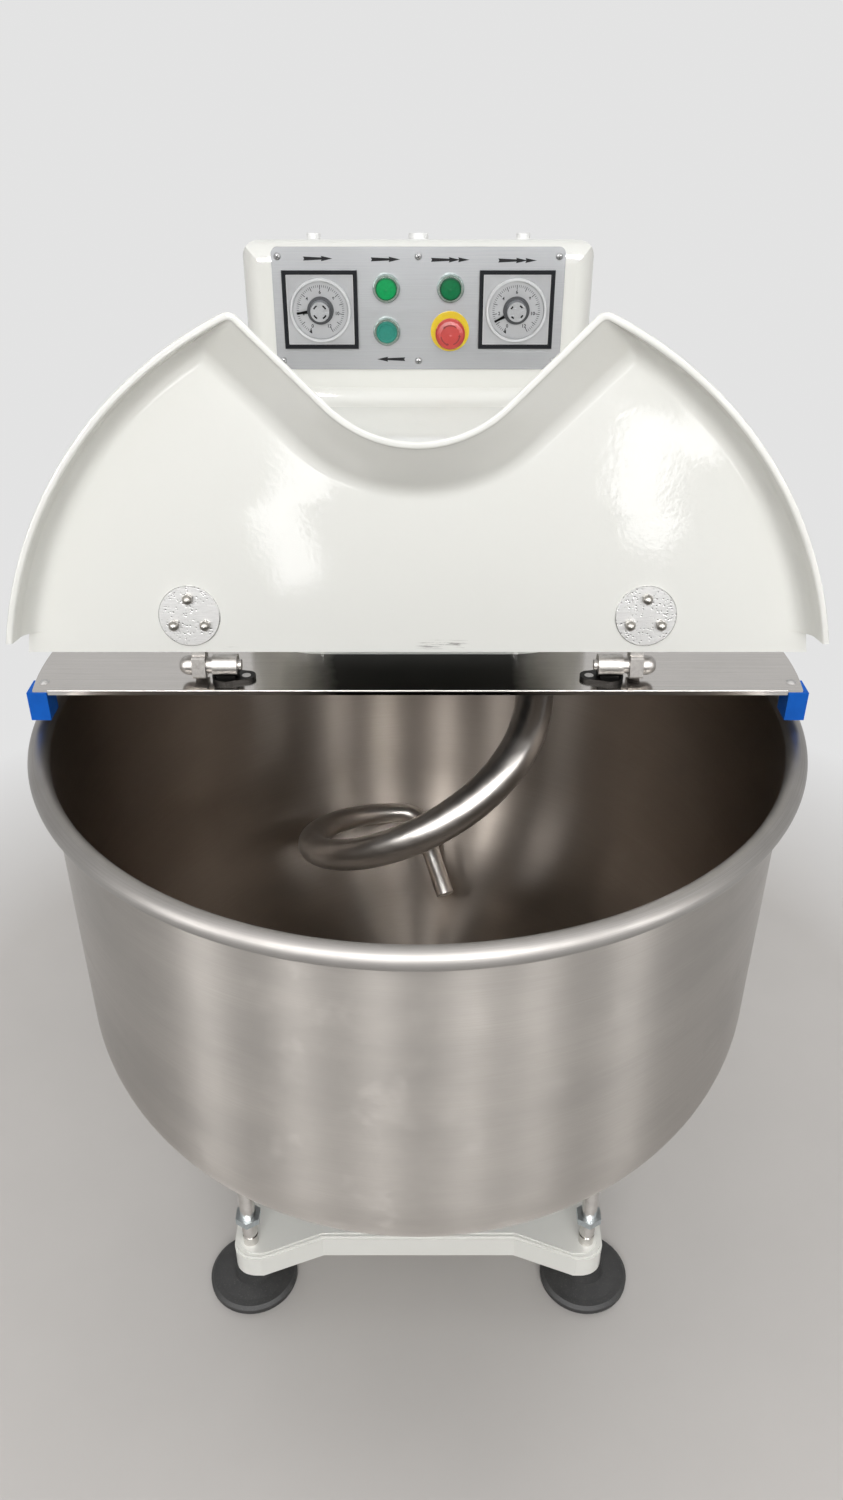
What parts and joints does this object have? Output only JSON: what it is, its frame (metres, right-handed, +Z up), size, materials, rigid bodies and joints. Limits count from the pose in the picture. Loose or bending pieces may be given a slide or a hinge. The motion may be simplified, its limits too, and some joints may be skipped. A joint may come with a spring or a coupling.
{
  "type": "spiral dough mixer",
  "caption": "Floor-standing spiral dough mixer with a turning steel bowl, a tapered spiral tool, a hinged moulded lid with a notch, and a column with a control panel.",
  "frame": {"origin": "centre of the bounding box's foot print, on the floor", "axes": "+Z up, +Y from the operator's side to the column at the back, +X to the operator's right"},
  "size_m": [0.838, 1.25, 1.2747],
  "materials": {
    "ivory_paint": "gloss enamel with a fine orange peel",
    "ivory_moulding": "gloss gel coat over glass-fibre moulding",
    "bowl_steel": "stainless, fine brushed round the bowl",
    "plate_steel": "stainless sheet, satin",
    "tool_steel": "ground and polished stainless bar",
    "zinc_steel": "zinc plated",
    "chrome_post": "ground and chromed",
    "hinge_steel": "stainless, worn",
    "panel_aluminium": "brushed and anodised",
    "disc_aluminium": "brushed, pitted with age",
    "cast_grey": "painted grey",
    "motor_blue": "matt enamel",
    "pulley_steel": "turned steel",
    "black_rubber": "matt",
    "black_plastic": "satin",
    "blue_plastic": "cut polyethylene",
    "dial_grey": "satin",
    "clear_plastic": "clear moulding",
    "knob_grey": "clear knob over a dark skirt",
    "bezel_green": "gloss",
    "green_lens": "lit lens, gloss",
    "dark_green_lens": "lens, gloss",
    "teal_lens": "lens, gloss",
    "yellow_plastic": "satin",
    "red_plastic": "satin",
    "white_plastic": "satin",
    "black_paint": "satin enamel"
  },
  "bodies": {
    "frame_body": {"base_casting": "ivory_paint", "foot_pads": "black_rubber", "foot_spindles": "zinc_steel", "column_shell": "ivory_paint", "rear_cover": "ivory_paint", "cover_screws": "zinc_steel", "head_shell": "ivory_paint", "cover_plate": "plate_steel", "plate_skirt": "plate_steel", "plate_screws": "hinge_steel", "guide_blocks": "blue_plastic", "support_posts": "chrome_post", "post_nuts": "zinc_steel", "roller_forks": "black_paint", "hinge_bearings": "hinge_steel", "bearing_screws": "hinge_steel", "control_panel": "panel_aluminium", "panel_screws": "zinc_steel", "timer_frames": "black_plastic", "timer_faces": "dial_grey", "timer_lenses": "clear_plastic", "button_bezels": "bezel_green", "stop_plate": "yellow_plastic", "top_caps": "white_plastic", "cable_gland": "black_plastic", "bowl_bearing": "cast_grey", "bowl_motor": "motor_blue", "bowl_belt": "black_rubber", "spiral_bearings": "cast_grey", "spiral_motor": "motor_blue", "spiral_belt": "black_rubber"},
    "bowl": {"bowl_shell": "bowl_steel", "bowl_hub": "cast_grey", "bowl_pulley": "pulley_steel"},
    "spiral": {"spiral_arm": "tool_steel", "spiral_shaft": "tool_steel", "spiral_pulley": "pulley_steel"},
    "lid": {"lid_shell": "ivory_moulding", "hinge_arms": "hinge_steel", "hinge_pins": "hinge_steel", "arm_screws": "zinc_steel", "lid_discs": "disc_aluminium", "cap_nuts": "zinc_steel"},
    "roller_left": {"roller_left": "black_rubber"},
    "roller_right": {"roller_right": "black_rubber"},
    "bowl_motor_shaft": {"bowl_motor_pulley": "pulley_steel"},
    "spiral_motor_shaft": {"spiral_motor_pulley": "pulley_steel"},
    "start_button": {"start_button": "green_lens"},
    "second_button": {"second_button": "dark_green_lens"},
    "reverse_button": {"reverse_button": "teal_lens"},
    "stop_stem": {"stop_stem": "black_plastic"},
    "stop_head": {"stop_button": "red_plastic"},
    "timer_knob_left": {"timer_knob_left": "knob_grey"},
    "timer_knob_right": {"timer_knob_right": "knob_grey"}
  },
  "joints": [
    {"name": "bowl_turn", "type": "hinge", "parent": "frame_body", "child": "bowl", "pos_m": [0, -0.206, 0.3], "axis": [0, 0, 1], "continuous": true},
    {"name": "spiral_turn", "type": "hinge", "parent": "frame_body", "child": "spiral", "pos_m": [0, -0.016, 0.9], "axis": [0, 0, 1], "continuous": true},
    {"name": "lid_hinge", "type": "hinge", "parent": "frame_body", "child": "lid", "pos_m": [0, -0.236, 0.919], "axis": [1, 0, 0], "range_deg": [0, 100]},
    {"name": "roller_left_spin", "type": "hinge", "parent": "frame_body", "child": "roller_left", "pos_m": [-0.222, -0.3705, 0.33644], "axis": [-0.8035, -0.5954, 0], "continuous": true},
    {"name": "roller_right_spin", "type": "hinge", "parent": "frame_body", "child": "roller_right", "pos_m": [0.222, -0.3705, 0.33644], "axis": [0.8035, -0.5954, 0], "continuous": true},
    {"name": "bowl_motor_spin", "type": "hinge", "parent": "frame_body", "child": "bowl_motor_shaft", "pos_m": [0, 0.4065, 0.32], "axis": [0, 0, 1], "continuous": true},
    {"name": "spiral_motor_spin", "type": "hinge", "parent": "frame_body", "child": "spiral_motor_shaft", "pos_m": [0, 0.4065, 1.01], "axis": [0, 0, 1], "continuous": true},
    {"name": "start_press", "type": "slide", "parent": "frame_body", "child": "start_button", "axis": [0, 1, 0], "range_m": [0, 0.0035], "stiffness_N_per_m": 600, "springref_m": -0.001},
    {"name": "second_press", "type": "slide", "parent": "frame_body", "child": "second_button", "axis": [0, 1, 0], "range_m": [0, 0.0035], "stiffness_N_per_m": 600, "springref_m": -0.001},
    {"name": "reverse_press", "type": "slide", "parent": "frame_body", "child": "reverse_button", "axis": [0, 1, 0], "range_m": [0, 0.0035], "stiffness_N_per_m": 600, "springref_m": -0.001},
    {"name": "stop_press", "type": "slide", "parent": "frame_body", "child": "stop_stem", "axis": [0, 1, 0], "range_m": [0, 0.004]},
    {"name": "stop_twist", "type": "hinge", "parent": "stop_stem", "child": "stop_head", "pos_m": [0.041, 0.224, 1.159], "axis": [0, -1, 0], "range_deg": [-30, 0], "stiffness_Nm_per_rad": 0.05, "springref_deg": 2.86},
    {"name": "timer_left_set", "type": "hinge", "parent": "frame_body", "child": "timer_knob_left", "pos_m": [-0.126, 0.2385, 1.1855], "axis": [0, -1, 0], "range_deg": [-247, 53]},
    {"name": "timer_right_set", "type": "hinge", "parent": "frame_body", "child": "timer_knob_right", "pos_m": [0.126, 0.2385, 1.1855], "axis": [0, -1, 0], "range_deg": [-267, 33]}
  ],
  "couplings": [
    {"joint": "bowl_motor_spin", "follows": "bowl_turn", "ratio": 4.2857},
    {"joint": "spiral_motor_spin", "follows": "spiral_turn", "ratio": 3.0952},
    {"joint": "roller_left_spin", "follows": "bowl_turn", "ratio": -8.1266},
    {"joint": "roller_right_spin", "follows": "bowl_turn", "ratio": -8.1266}
  ]
}
